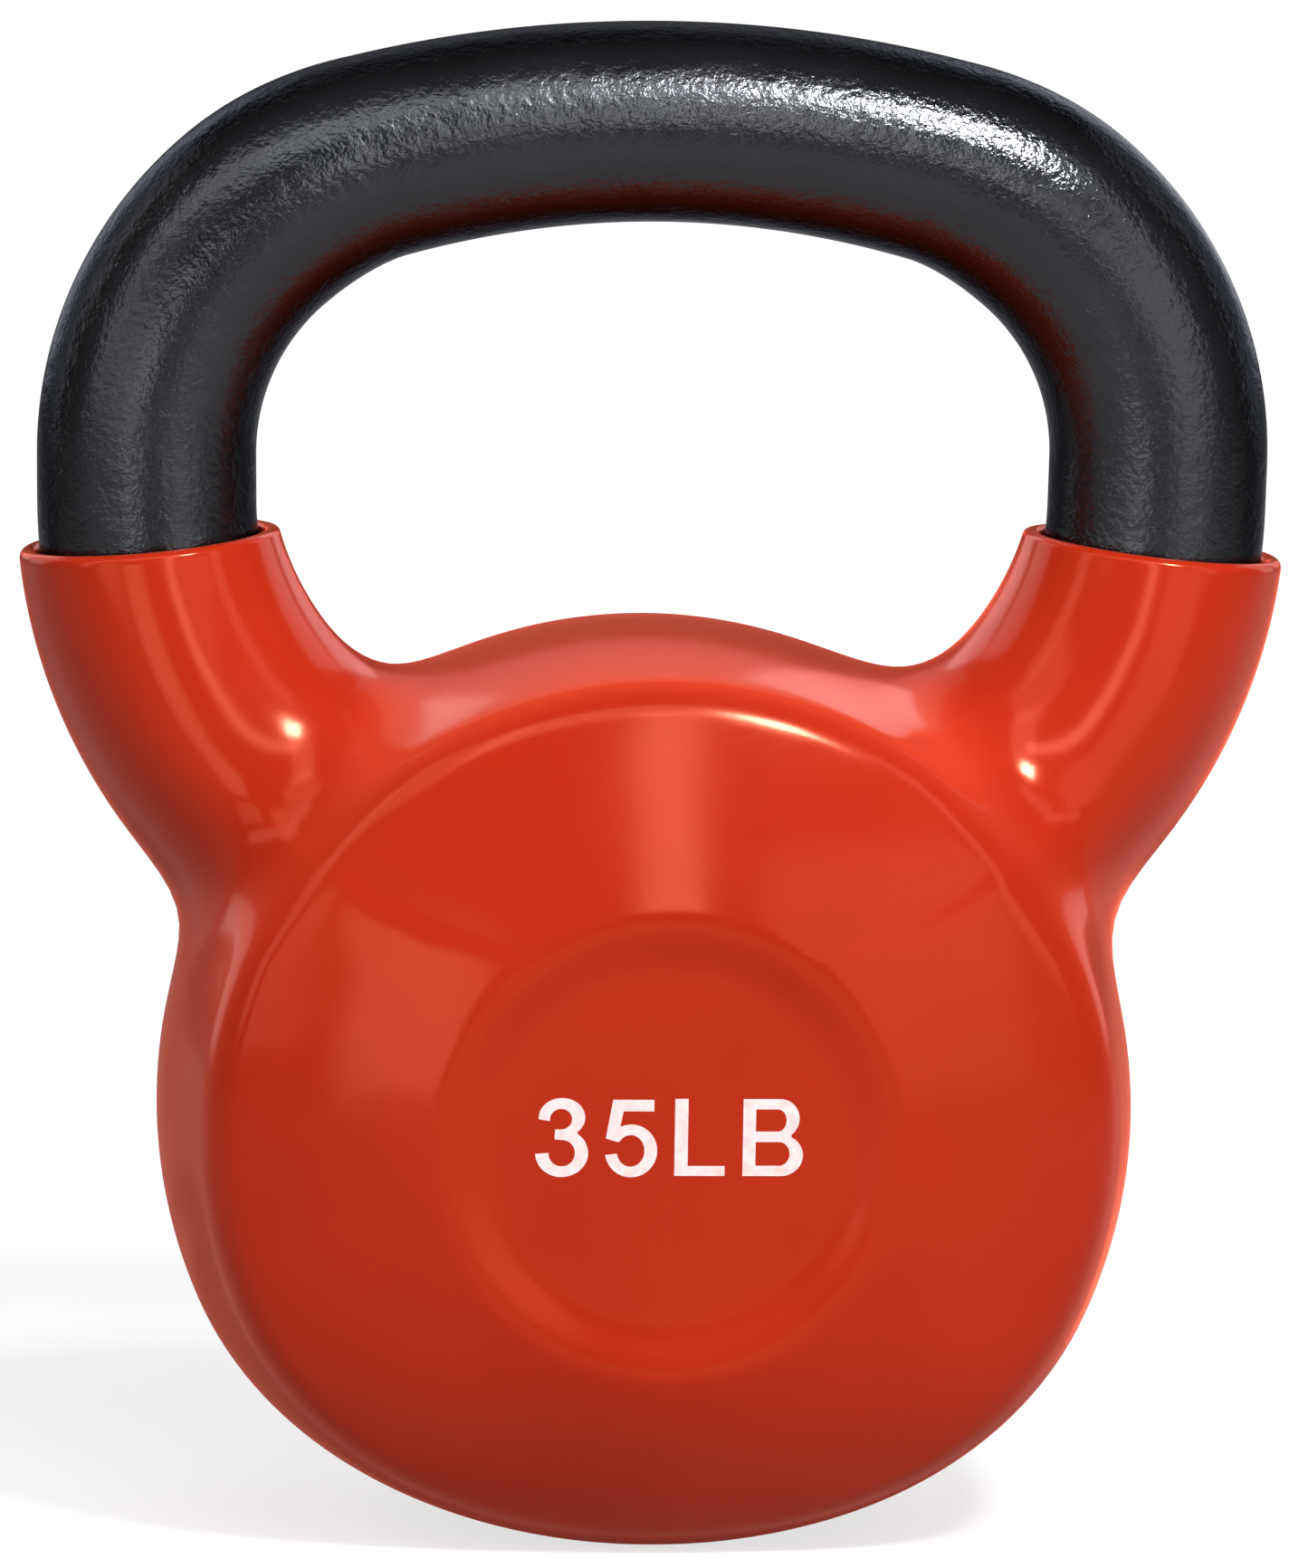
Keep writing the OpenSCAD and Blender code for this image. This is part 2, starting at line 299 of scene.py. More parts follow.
@dataclass(frozen=True)
class KettlebellForm:
    """Driving sizes of the form, in millimetres and degrees.

    They are those of the CAD source, apart from horn_blend, root_blend and root_reach, which give a
    softer fillet where a horn meets the bell. Every distance below is more than 0 outside a form,
    less than 0 inside it, and takes and gives millimetres.
    """

    bell_radius: float = 84.0
    bell_centre: float = 72.6
    bell_depth: float = 115.2
    dome_radius: float = 190.0
    barrel_radius: float = 130.0
    shoulder_blend: float = 4.0
    root_blend: float = 12.0
    root_reach: float = 14.0
    base_blend: float = 66.0
    base_drop: float = 2.0
    recess_radius: float = 36.0
    recess_depth: float = 2.2
    recess_draft: float = 1.8
    recess_blend: float = 2.4
    grip_height: float = 242.5
    grip_arc: float = 187.0
    corner_start: float = 15.0
    corner_arc: float = 52.4
    grip_radius: float = 17.2
    leg_radius: float = 18.8
    leg_turn: float = 91.0
    leg_length: float = 8.0
    horn_arc: float = 73.6
    rim_turn: float = 96.0
    rim_radius: float = 22.4
    horn_flare: float = 0.15
    horn_swell: float = 0.2
    horn_reach: tuple[float, float] = (-10.0, 60.0)
    horn_blend: float = 19.0
    grip_fade: float = 40.0
    corner_reach: float = 20.0
    wall: float = 2.6
    groove_depth: float = 8.0
    foot_edge: float = 0.8

    @property
    def half_depth(self) -> float:
        """Half the thickness of the bell."""
        return self.bell_depth / 2

    @property
    def recess_floor(self) -> float:
        """How far the floor of a recess lies from the middle of the bell."""
        drop = self.dome_radius - math.sqrt(self.dome_radius ** 2 - self.recess_radius ** 2)
        return self.half_depth - drop - self.recess_depth

    @property
    def shoulder(self) -> tuple[float, float]:
        """Corner where the side and a domed face would meet unrounded.

        Returns:
            Its radius and y.
        """
        side = np.array([self.bell_radius - self.barrel_radius, 0.0])
        way = np.array([0.0, self.half_depth - self.dome_radius]) - side
        gap = float(np.hypot(*way))
        along = (self.barrel_radius ** 2 - self.dome_radius ** 2 + gap ** 2) / (2 * gap)
        up = math.sqrt(self.barrel_radius ** 2 - along ** 2)
        corner = side + (along * way + up * np.array([-way[1], way[0]])) / gap
        return float(corner[0]), float(corner[1])

    @property
    def base_plane(self) -> float:
        """How far under the floor the plane lies that the underside rounds in towards."""
        drop = self.bell_radius - self.bell_centre
        return drop + self.base_blend - 2 * math.sqrt(self.base_blend * (drop - self.base_drop))

    @property
    def grip_pivot(self) -> np.ndarray:
        """Centre of the arc of the grip, as x and z."""
        return np.array([0.0, self.grip_height - self.grip_arc])

    @property
    def corner_pivot(self) -> np.ndarray:
        """Centre of the arc of the right corner."""
        return self.grip_pivot + (self.grip_arc - self.corner_arc) * outward(self.corner_start)

    @property
    def leg_top(self) -> np.ndarray:
        """Top end of the straight part of the right leg, on the centreline."""
        return self.corner_pivot + self.corner_arc * outward(self.leg_turn)

    @property
    def leg_way(self) -> np.ndarray:
        """Direction of the right leg downwards."""
        return outward(self.leg_turn + 90)

    @property
    def horn_pivot(self) -> np.ndarray:
        """Centre of the arc of the right horn."""
        return self.leg_top + self.leg_length * self.leg_way - self.horn_arc * outward(self.leg_turn)

    @property
    def turn_per_mm(self) -> float:
        """Turn, in degrees, of one millimetre along a horn."""
        return math.degrees(1 / self.horn_arc)

    @property
    def rim_height(self) -> float:
        """Height of the middle of a collar's rim over the floor."""
        return float(self.horn_pivot[1] + self.horn_arc * outward(self.rim_turn)[1])

    def under_rim(self, depth: float) -> float:
        """Turn of a ring so many millimetres under the rim of a collar."""
        return self.rim_turn + depth * self.turn_per_mm

    def below_rim(self, p: np.ndarray) -> np.ndarray:
        """Turn of points below the rim of their collar, in degrees."""
        dx, dz = np.abs(p[:, 0]) - self.horn_pivot[0], p[:, 2] - self.horn_pivot[1]
        return np.degrees(np.arctan2(-dx, -dz)) + 180 - self.rim_turn

    def iron_radius(self, turn: np.ndarray) -> np.ndarray:
        """Radius of the bare iron at a turn from the middle of the grip."""
        return self.grip_radius + (self.leg_radius - self.grip_radius) * ease(turn / self.grip_fade)

    def drum(self, p: np.ndarray) -> np.ndarray:
        """Distance to the bell alone.

        Args:
            p: Points.

        Returns:
            Their distances.
        """
        across = np.hypot(p[:, 0], p[:, 2] - self.bell_centre)
        side = np.hypot(across + self.barrel_radius - self.bell_radius, p[:, 1]) - self.barrel_radius
        face = np.hypot(across, np.abs(p[:, 1]) + self.dome_radius - self.half_depth)
        near_horn = ease(1 - self.horn(p) / self.root_reach)
        width = self.shoulder_blend + (self.root_blend - self.shoulder_blend) * near_horn
        return trimmed(side, face - self.dome_radius, width)

    def recess(self, p: np.ndarray) -> np.ndarray:
        """Distance to the two round recesses.

        Args:
            p: Points.

        Returns:
            Their distances.
        """
        across = np.hypot(p[:, 0], p[:, 2] - self.bell_centre)
        deep = np.abs(p[:, 1]) - self.recess_floor
        slope = across - self.recess_radius - self.recess_draft * (deep - self.recess_depth / 2)
        return trimmed(slope / math.hypot(1, self.recess_draft), -deep, self.recess_blend)

    def horn(self, p: np.ndarray) -> np.ndarray:
        """Distance to the horns alone.

        Args:
            p: Points.

        Returns:
            Their distances.
        """
        dx, dz = np.abs(p[:, 0]) - self.horn_pivot[0], p[:, 2] - self.horn_pivot[1]
        out = np.hypot(dx, dz) - self.horn_arc
        below = np.clip(self.below_rim(p), *self.horn_reach)
        half_width = self.rim_radius + np.where(out < 0, self.horn_flare, 0.0) * below
        half_deep = self.rim_radius + self.horn_swell * below
        return (np.hypot(out / half_width, p[:, 1] / half_deep) - 1) * half_width

    def body(self, p: np.ndarray) -> np.ndarray:
        """Distance to the jacket's outer form.

        Args:
            p: Points.

        Returns:
            Their distances.
        """
        whole = merged(self.drum(p), self.horn(p), self.horn_blend)
        footed = trimmed(whole, -p[:, 2] - self.base_plane, self.base_blend)
        return trimmed(footed, -self.recess(p), self.recess_blend)

    def skin(self, p: np.ndarray, inset: float) -> np.ndarray:
        """Distance to the form taken in by an inset, over its flat foot."""
        return trimmed(self.body(p) + inset, inset - p[:, 2], self.foot_edge)

    def handle(self, p: np.ndarray) -> np.ndarray:
        """Distance to the bare iron of the grip, corners and legs.

        Args:
            p: Points.

        Returns:
            Their distances.
        """
        x, y, z = np.abs(p[:, 0]), p[:, 1], p[:, 2]
        (grip_x, grip_z), (corner_x, corner_z), (leg_x, leg_z), (horn_x, horn_z) = (
            (x - at[0], z - at[1])
            for at in (self.grip_pivot, self.corner_pivot, self.leg_top, self.horn_pivot))
        grip_turn = np.degrees(np.arctan2(grip_x, grip_z))
        corner_turn = np.degrees(np.arctan2(corner_x, corner_z))
        side, way = outward(self.leg_turn), self.leg_way
        along = leg_x * way[0] + leg_z * way[1]
        on_corner = (corner_turn <= self.leg_turn) & (corner_z > -self.corner_reach) & (along <= 0)
        parts = [grip_turn <= self.corner_start, on_corner, along <= self.leg_length]
        out = np.select(parts, [np.hypot(grip_x, grip_z) - self.grip_arc,
                                np.hypot(corner_x, corner_z) - self.corner_arc,
                                leg_x * side[0] + leg_z * side[1]],
                        np.hypot(horn_x, horn_z) - self.horn_arc)
        radius = np.select(parts[:2], [self.iron_radius(grip_turn), self.iron_radius(corner_turn)],
                           self.leg_radius)
        return np.hypot(out, y) - radius

    def jacket(self, p: np.ndarray, outer: np.ndarray) -> np.ndarray:
        """Distance to the side of the vinyl that a point belongs to.

        Args:
            p: Points.
            outer: True for the points of the outer skin.

        Returns:
            Distance to the outer or inner skin, or near the rim to the half round of the lip.
        """
        half = self.wall / 2
        over = half - self.below_rim(p) / self.turn_per_mm
        lip = np.hypot(self.body(p) + half, np.maximum(over, 0)) - half
        side = np.where(outer, self.skin(p, 0.0), self.skin(p, self.wall))
        at_lip = (over > 0) & (p[:, 2] > self.horn_pivot[1] - self.horn_arc)
        return np.where(at_lip, lip, side)

    def casting(self, p: np.ndarray) -> np.ndarray:
        """Distance to the iron, under the jacket and above it.

        Args:
            p: Points.

        Returns:
            Their distances.
        """
        depth = self.below_rim(p) / self.turn_per_mm
        under = np.clip(2 * depth / self.groove_depth - 1, 0, 1)
        near = p[:, 2] - self.rim_height
        jacketed = np.where(near > self.rim_radius, 0.0, np.where(near < -self.rim_radius, 1.0, under))
        return self.handle(p) * (1 - jacketed) + self.skin(p, self.wall) * jacketed


# ---- Finishes ----

@dataclass(frozen=True)
class Relief:
    """One layer of fine relief, with the width and depth of its waves in millimetres."""

    width: float
    depth: float
    strength: float
    detail: float = 2.0
    roughness: float = 0.5

    def normal(self, tree: NodeTree, where: NodeSocket, **under: NodeSocket) -> NodeSocket:
        """Adds the layer.

        Args:
            tree: The node tree that it goes in.
            where: The coordinates that its waves follow.
            **under: The Normal of the layer under it, where there is one.

        Returns:
            The normal of the surface with the layer on it.
        """
        height = add_node(tree, "ShaderNodeTexNoise", Vector=where, Scale=per_mm(self.width),
                          Detail=self.detail, Roughness=self.roughness)
        return add_node(tree, "ShaderNodeBump", Height=height.outputs["Fac"], Strength=self.strength,
                        Distance=self.depth * MM, **under).outputs["Normal"]


@dataclass(frozen=True)
class VinylFinish:
    """Plasticised vinyl, moulded against polished steel.

    It gives a wet gloss over a deep red, with faint waves and a slightly uneven shine. Light that
    has been scattered under its skin warms the gloss at the edges, so they shine salmon, not white.
    """

    base: str = "#ab2710"
    deep: str = "#a4240d"
    pale: str = "#b22b13"
    # Painted light: the paler red of the bell's side wall and crown, standing in for the light that falls on
    # them
    painted_light_red: str = "#cc3e24"
    cloud_mm: float = 60.0
    shine_mm: float = 22.0
    wave: Relief = Relief(22.0, 0.6, 0.35, detail=1.0)
    # The real grain is finer than this, too fine to show
    grain: Relief = Relief(0.9, 0.1, 0.06)
    roughness: tuple[float, float] = (0.12, 0.20)
    ior: float = 1.5
    gloss: float = 0.58
    gloss_tint: str = "#ff9a7c"
    # Where the tint of the edges starts and is full, from 0 seen face on to 1 seen edge on
    edge: tuple[float, float] = (0.55, 0.95)
    edge_tint: float = 0.9
    sheen: float = 1.0
    sheen_roughness: float = 0.35
    sheen_tint: str = "#ff6a4c"

    def material(self) -> Material:
        """Builds the material.

        Returns:
            The glossy red vinyl.
        """
        material, tree, where = new_material("glossy_moulded_vinyl")
        cloud = add_node(tree, "ShaderNodeTexNoise", Vector=where, Scale=per_mm(self.cloud_mm),
                         Detail=3.0).outputs["Fac"]
        to_base = add_node(tree, "ShaderNodeMapRange", Value=cloud, From_Min=0.3, From_Max=0.5)
        to_pale = add_node(tree, "ShaderNodeMapRange", Value=cloud, From_Min=0.5, From_Max=0.72)
        painted_light_share = add_node(tree, "ShaderNodeAttribute", {"attribute_name": PAINTED_LIGHT_ATTRIBUTE})
        # The last mix paints the side wall and crown a paler red, as painted light
        colour: Any = linear(self.deep)
        for share, shade in ((to_base.outputs["Result"], self.base), (to_pale.outputs["Result"], self.pale),
                             (painted_light_share.outputs["Fac"], self.painted_light_red)):
            colour = add_node(tree, "ShaderNodeMix", {"data_type": "RGBA"}, in0=share, in6=colour,
                              in7=linear(shade)).outputs[2]
        shine = add_node(tree, "ShaderNodeTexNoise", Vector=where, Scale=per_mm(self.shine_mm),
                         Detail=5.0, Roughness=0.6).outputs["Fac"]
        rough = add_node(tree, "ShaderNodeMapRange", Value=shine, From_Min=0.3, From_Max=0.75,
                         To_Min=self.roughness[0], To_Max=self.roughness[1]).outputs["Result"]
        normal = self.grain.normal(tree, where, Normal=self.wave.normal(tree, where))
        facing = add_node(tree, "ShaderNodeLayerWeight", Blend=0.5).outputs["Facing"]
        # A metal's edge takes the gloss tint, where a plastic's would turn white
        at_edge = add_node(tree, "ShaderNodeMapRange", {"interpolation_type": "SMOOTHSTEP"}, Value=facing,
                           From_Min=self.edge[0], From_Max=self.edge[1], To_Max=self.edge_tint)
        shader = add_node(tree, "ShaderNodeBsdfPrincipled", Base_Color=colour, Roughness=rough,
                          Metallic=at_edge.outputs["Result"], IOR=self.ior, Specular_IOR_Level=self.gloss,
                          Specular_Tint=linear(self.gloss_tint), Sheen_Weight=self.sheen, Normal=normal,
                          Sheen_Roughness=self.sheen_roughness, Sheen_Tint=linear(self.sheen_tint))
        add_node(tree, "ShaderNodeOutputMaterial", Surface=shader.outputs["BSDF"])
        return material


@dataclass(frozen=True)
class PowderCoat:
    """Polyester powder coat, baked on rough grey iron.

    It gives a near black whose orange peel breaks every highlight into specks. The peel shades
    itself at a low angle, so the gloss fades towards the edges.
    """

    base: str = "#0d0e10"
    worn: str = "#131417"
    cloud_mm: float = 30.0
    lump: Relief = Relief(3.5, 0.3, 0.7)
    peel: Relief = Relief(1.1, 0.16, 1.0, detail=3.0, roughness=0.6)
    roughness: tuple[float, float] = (0.11, 0.24)
    ior: float = 1.5
    gloss: float = 1.0
    gloss_tint: str = "#cdd0d8"
    edge: tuple[float, float] = (0.12, 0.55)
    edge_loss: float = 0.95

    def material(self) -> Material:
        """Builds the material.

        Returns:
            The textured black coat.
        """
        material, tree, where = new_material("black_powder_coat")
        cloud = add_node(tree, "ShaderNodeTexNoise", Vector=where, Scale=per_mm(self.cloud_mm),
                         Detail=6.0, Roughness=0.65).outputs["Fac"]
        rubbed = add_node(tree, "ShaderNodeMapRange", Value=cloud, From_Min=0.35, From_Max=0.7)
        colour = add_node(tree, "ShaderNodeMix", {"data_type": "RGBA"}, in0=rubbed.outputs["Result"],
                          in6=linear(self.base), in7=linear(self.worn))
        rough = add_node(tree, "ShaderNodeMapRange", Value=cloud, From_Min=0.3, From_Max=0.7,
                         To_Min=self.roughness[0], To_Max=self.roughness[1]).outputs["Result"]
        normal = self.peel.normal(tree, where, Normal=self.lump.normal(tree, where))
        facing = add_node(tree, "ShaderNodeLayerWeight", Blend=0.5).outputs["Facing"]
        # A metal as dark as the coat has next to no gloss of its own
        at_edge = add_node(tree, "ShaderNodeMapRange", {"interpolation_type": "SMOOTHSTEP"}, Value=facing,
                           From_Min=self.edge[0], From_Max=self.edge[1], To_Max=self.edge_loss)
        shader = add_node(tree, "ShaderNodeBsdfPrincipled", Base_Color=colour.outputs[2], Roughness=rough,
                          Metallic=at_edge.outputs["Result"], IOR=self.ior, Specular_IOR_Level=self.gloss,
                          Specular_Tint=linear(self.gloss_tint), Normal=normal)
        add_node(tree, "ShaderNodeOutputMaterial", Surface=shader.outputs["BSDF"])
        return material


@dataclass(frozen=True)
class PadInk:
    """Pad-printing ink, a thin film that dries satin and lets a little red through."""

    base: str = "#f2dcda"
    thin: str = "#e9c9c5"
    patch: Relief = Relief(2.0, 0.05, 0.2, detail=4.0)
    roughness: float = 0.4

    def material(self) -> Material:
        """Builds the material.

        Returns:
            The pale ink.
        """
        material, tree, where = new_material("pad_printed_ink")
        patch = add_node(tree, "ShaderNodeTexNoise", Vector=where, Scale=per_mm(self.patch.width),
                         Detail=self.patch.detail).outputs["Fac"]
        covered = add_node(tree, "ShaderNodeMapRange", Value=patch, From_Min=0.35, From_Max=0.6)
        colour = add_node(tree, "ShaderNodeMix", {"data_type": "RGBA"}, in0=covered.outputs["Result"],
                          in6=linear(self.thin), in7=linear(self.base))
        shader = add_node(tree, "ShaderNodeBsdfPrincipled", Base_Color=colour.outputs[2],
                          Roughness=self.roughness, Normal=self.patch.normal(tree, where))
        add_node(tree, "ShaderNodeOutputMaterial", Surface=shader.outputs["BSDF"])
        return material


# ---- Pieces ----

@dataclass
class Piece:
    """A piece of the kettlebell that rides on the one body."""

    form: KettlebellForm
    name: str = ""
    object: Object | None = field(default=None, repr=False)

    def finish(self, material: Material, slot: Slot, nodes: Sequence[str] = ()) -> None:
        """Args:
            material: The finish.
            slot: The material slot of the record. It is not used.
            nodes: The CAD nodes that the piece stands for.
        """
        activate(self.object)
        bpy.ops.object.transform_apply(location=True, rotation=True, scale=True)
        self.object.name = self.object.data.name = self.name
        self.object.data.materials.append(material)
        bpy.ops.object.shade_smooth()
        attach(self.object, "root")
        if nodes:
            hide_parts(*nodes)
        triangles = sum(len(face.vertices) - 2 for face in self.object.data.polygons)
        LOG.info("%s: %d triangles", self.name, triangles)


@dataclass
class BlendedPiece(Piece):
    """A piece with the bell and two horns: the cage that the jacket and the casting share.

    The opening that a horn grows from spans the given steps round the bell and rings to each side
    of its middle.
    """

    inset: float = 0.0
    bell_steps: int = 56
    opening: tuple[int, int] = (4, 12)
    opening_half: int = 5
    root_cuts: int = 5
    # How far under the groove's bottom the lowest ring of a horn lies
    root_ring: float = 2.0
    smooth_levels: int = 2
    # Radii of the rings on the floor of the recess and round its edge, less the edge's own
    floor_steps: tuple[float, ...] = (-16.0, -7.0, -4.6, -3.0)
    edge_steps: tuple[float, ...] = (-1.2, 0.6, 2.4, 5.0)
    # The shoulder's outer rings lie so many blends from its corner, its inner ones at a share of that
    shoulder_reach: float = 1.4
    shoulder_share: float = 0.4
    # Rings of the side, as shares of the corner's y
    side_shares: tuple[float, float] = (0.62, 0.3)

    @property
    def loop(self) -> int:
        """Points of each ring of a horn, as many as the opening has."""
        return 2 * (self.opening[1] - self.opening[0] + 2 * self.opening_half)

    def profile(self) -> list[tuple[float, float]]:
        """Lists the rings of the bell from its front to its back.

        Returns:
            Radius and y of each ring, in millimetres.
        """
        form = self.form
        edge = form.recess_radius + self.inset
        corner, corner_y = form.shoulder
        reach = self.shoulder_reach * form.shoulder_blend
        near = self.shoulder_share * reach
        hub, last = edge + self.edge_steps[-1], corner - reach
        radii = [edge + step for step in self.edge_steps]
        radii += [hub + (last - hub) / 3, hub + (last - hub) * 2 / 3, last, corner - near]
        depths = [corner_y - near, corner_y - reach, *(corner_y * share for share in self.side_shares)]
        half = [(edge + step, form.recess_floor) for step in self.floor_steps]
        half += [(radius, self.dome(radius)) for radius in radii]
        half += [(self.side(y), y) for y in depths]
        return [(r, -y) for r, y in half] + [(form.bell_radius, 0.0)] + half[::-1]

    def side(self, y: float) -> float:
        """Radius of the barrel-shaped side, at a distance from the middle of the bell."""
        form = self.form
        return form.bell_radius - form.barrel_radius + math.sqrt(form.barrel_radius ** 2 - y ** 2)

    def dome(self, radius: float) -> float:
        """Height of a domed face over the middle of the bell, at a radius."""
        form = self.form
        return form.half_depth - form.dome_radius + math.sqrt(form.dome_radius ** 2 - radius ** 2)

    def lay_bell(self) -> None:
        """Lays out the bell: a disc, extruded and sized ring by ring, and closed at the back."""
        rings = self.profile()
        centre = self.form.bell_centre * MM
        radius, y = rings[0]
        deselect()
        bpy.ops.mesh.primitive_circle_add(vertices=self.bell_steps, radius=radius * MM, fill_type="NGON",
                                          location=(0, y * MM, centre), rotation=(math.pi / 2, 0, 0))
        self.object = bpy.context.object
        bpy.ops.object.transform_apply(location=True, rotation=True, scale=True)
        bpy.ops.object.mode_set(mode="EDIT")
        bpy.ops.mesh.select_mode(type="EDGE")
        bpy.ops.mesh.select_all(action="SELECT")
        bpy.ops.mesh.region_to_loop()
        for (before, start), (radius, y) in zip(rings, rings[1:]):
            bpy.ops.mesh.extrude_edges_move(TRANSFORM_OT_translate={"value": (0, (y - start) * MM, 0)})
            size = radius / before
            bpy.ops.transform.resize(value=(size, 1, size), center_override=(0, y * MM, centre))
        bpy.ops.mesh.edge_face_add()

    def open_root(self) -> None:
        """Deletes the faces of the bell that the right horn grows out of."""
        rings = self.profile()
        radius, y = rings[len(rings) // 2 - self.opening_half]
        step = math.tau / self.bell_steps
        bpy.ops.mesh.select_mode(type="FACE")
        bpy.ops.mesh.select_all(action="DESELECT")
        bpy.ops.object.mode_set(mode="OBJECT")
        for face in self.object.data.polygons:
            across, deep, up = face.center / MM
            up -= self.form.bell_centre
            at_root = self.opening[0] * step < math.atan2(across, up) < self.opening[1] * step
            face.select = at_root and math.hypot(across, up) > radius and abs(deep) < -y
        bpy.ops.object.mode_set(mode="EDIT")
        bpy.ops.mesh.delete(type="FACE")

    def grow_horn(self, rings: Sequence[Ring]) -> None:
        """Bridges the opening to the first ring and extrudes the others from it.

        Args:
            rings: The rings, from the root of the horn upwards.
        """
        first = rings[0]
        bpy.ops.mesh.primitive_circle_add(vertices=self.loop, radius=first.radius * MM,
                                          location=first.centre,
                                          rotation=(0, math.radians(first.turn - 90), 0))
        bpy.ops.mesh.select_mode(type="EDGE")
        bpy.ops.mesh.select_all(action="DESELECT")
        bpy.ops.mesh.select_non_manifold(use_multi_face=False, use_non_contiguous=False, use_verts=False)
        bpy.ops.mesh.bridge_edge_loops(number_cuts=self.root_cuts, interpolation="LINEAR")
        self.select_ring(first)
        for before, ring in zip(rings, rings[1:]):
            move = tuple(ring.centre - before.centre)
            bpy.ops.mesh.extrude_edges_move(TRANSFORM_OT_translate={"value": move})
            # With no window the operator turns the other way round
            bpy.ops.transform.rotate(value=-math.radians(ring.turn - before.turn), orient_axis="Y",
                                     center_override=tuple(ring.centre))
            size = ring.radius / before.radius
            bpy.ops.transform.resize(value=(size, size, size), center_override=tuple(ring.centre))

    def select_ring(self, ring: Ring, slack: float = 0.05) -> None:
        """Selects the open edges at a ring, so that they can be extruded.

        Args:
            ring: The ring.
            slack: How far a point may lie from it, in millimetres.
        """
        bpy.ops.mesh.select_mode(type="VERT")
        bpy.ops.mesh.select_all(action="DESELECT")
        bpy.ops.object.mode_set(mode="OBJECT")
        gap = places(self.object) - np.array([ring.x, 0.0, ring.z])
        way = outward(ring.turn)
        flat = np.abs(-gap[:, 0] * way[1] + gap[:, 2] * way[0]) < slack
        near = np.abs(np.linalg.norm(gap, axis=1) - ring.radius) < slack
        self.object.data.vertices.foreach_set("select", flat & near)
        bpy.ops.object.mode_set(mode="EDIT")
        bpy.ops.mesh.select_mode(type="EDGE")

    def mirror(self) -> None:
        """Cuts the cage at the middle, mirrors its right half and merges the seam."""
        apply_modifier(self.object, "MIRROR", use_bisect_axis=(True, False, False), use_clip=True,
                       merge_threshold=0.05 * MM)
        close_seams(self.object, 0.02)

    def settle(self, distance: Callable[[np.ndarray], np.ndarray], rounds: int = 2) -> None:
        """Brings the mesh onto the form, evened out so that no face folds over.

        Args:
            distance: Gives how far points lie outside.
            rounds: How often the mesh is smoothed and settled again.
        """
        place(self.object, settled(places(self.object), distance))
        for _ in range(rounds):
            activate(self.object)
            bpy.ops.object.mode_set(mode="EDIT")
            bpy.ops.mesh.select_all(action="SELECT")
            bpy.ops.mesh.vertices_smooth(factor=0.5, repeat=2)
            bpy.ops.object.mode_set(mode="OBJECT")
            place(self.object, settled(places(self.object), distance))
        low, high = (np.array(corner) / MM for corner in CAD_BOX)
        place(self.object, np.clip(places(self.object), low, high))

    def horn_rings(self) -> list[Ring]:
        """Lists the rings of the right horn. Each kind of piece has its own."""
        raise NotImplementedError

    def horn_stop(self, depth: float, radius: float) -> Ring:
        """Makes a ring of a horn.

        Args:
            depth: How far it lies under the rim.
            radius: Its radius.

        Returns:
            The ring.
        """
        turn = self.form.under_rim(depth)
        x, z = self.form.horn_pivot + self.form.horn_arc * outward(turn)
        return Ring(x, z, turn, radius)

    def lay_cage(self) -> None:
        """Lays out the whole cage with both horns."""
        self.lay_bell()
        self.open_root()
        self.grow_horn(self.horn_rings())
        self.mirror()


@dataclass
class VinylJacket(BlendedPiece):
    """The moulded jacket: bell, horns and two collars with a rounded lip and an open groove."""

    name: str = "moulded_jacket"
    # How far under the rim the ring lies that holds the lip round
    lip_ring: float = 1.4
    # Where the painted light on the side wall starts to fade and where it is gone: by the part of the
    # normal that points along y, and by how far a point lies outside the bell's radius
    fade_by_turn: tuple[float, float] = (0.3, 0.8)
    fade_by_reach: tuple[float, float] = (-2.0, 8.0)

    def horn_rings(self) -> list[Ring]:
        """Lists the rings from the root of the right horn up to its rim.

        Returns:
            The rings, in millimetres and degrees.
        """
        form = self.form
        depths = (form.groove_depth + self.root_ring, form.groove_depth / 2, self.lip_ring, 0.0)
        return [self.horn_stop(depth, form.rim_radius + form.horn_swell * depth * form.turn_per_mm)
                for depth in depths]

    def build(self, finish: VinylFinish) -> None:
        """Models and dresses the jacket.

        Args:
            finish: The glossy vinyl.
        """
        form = self.form
        self.lay_cage()
        place(self.object, settled(places(self.object), lambda p: form.skin(p, 0.0)))
        inner = self.object.vertex_groups.new(name="inner")
        apply_modifier(self.object, "SOLIDIFY", thickness=form.wall * MM, offset=-1.0,
                       use_even_offset=True, use_rim=True, shell_vertex_group=inner.name)
        apply_modifier(self.object, "SUBSURF", levels=self.smooth_levels)
        outer = np.array([sum(g.weight for g in vertex.groups) < 0.5
                          for vertex in self.object.data.vertices])
        self.settle(lambda p: form.jacket(p, outer))
        self.object.vertex_groups.clear()
        # Painted light: the side wall and crown get a paler red
        self.paint_side_light()
        self.finish(finish.material(), Slot.VINYL, ["vinyl_jacket"])

    def paint_side_light(self) -> None:
        """Marks where light is painted on the side wall and crown of the bell, which are coloured a paler
        red for the light that falls on them.
        """
        mesh = self.object.data
        normals = np.empty(3 * len(mesh.vertices))
        mesh.vertex_normals.foreach_get("vector", normals)
        turn = np.abs(normals.reshape(-1, 3)[:, 1])
        p = places(self.object)
        reach = np.hypot(p[:, 0], p[:, 2] - self.form.bell_centre) - self.form.bell_radius
        mark = np.ones(len(p))
        for value, (start, end) in ((turn, self.fade_by_turn), (reach, self.fade_by_reach)):
            mark *= ease((end - value) / (end - start))
        mesh.attributes.new(PAINTED_LIGHT_ATTRIBUTE, "FLOAT", "POINT").data.foreach_set("value", mark)


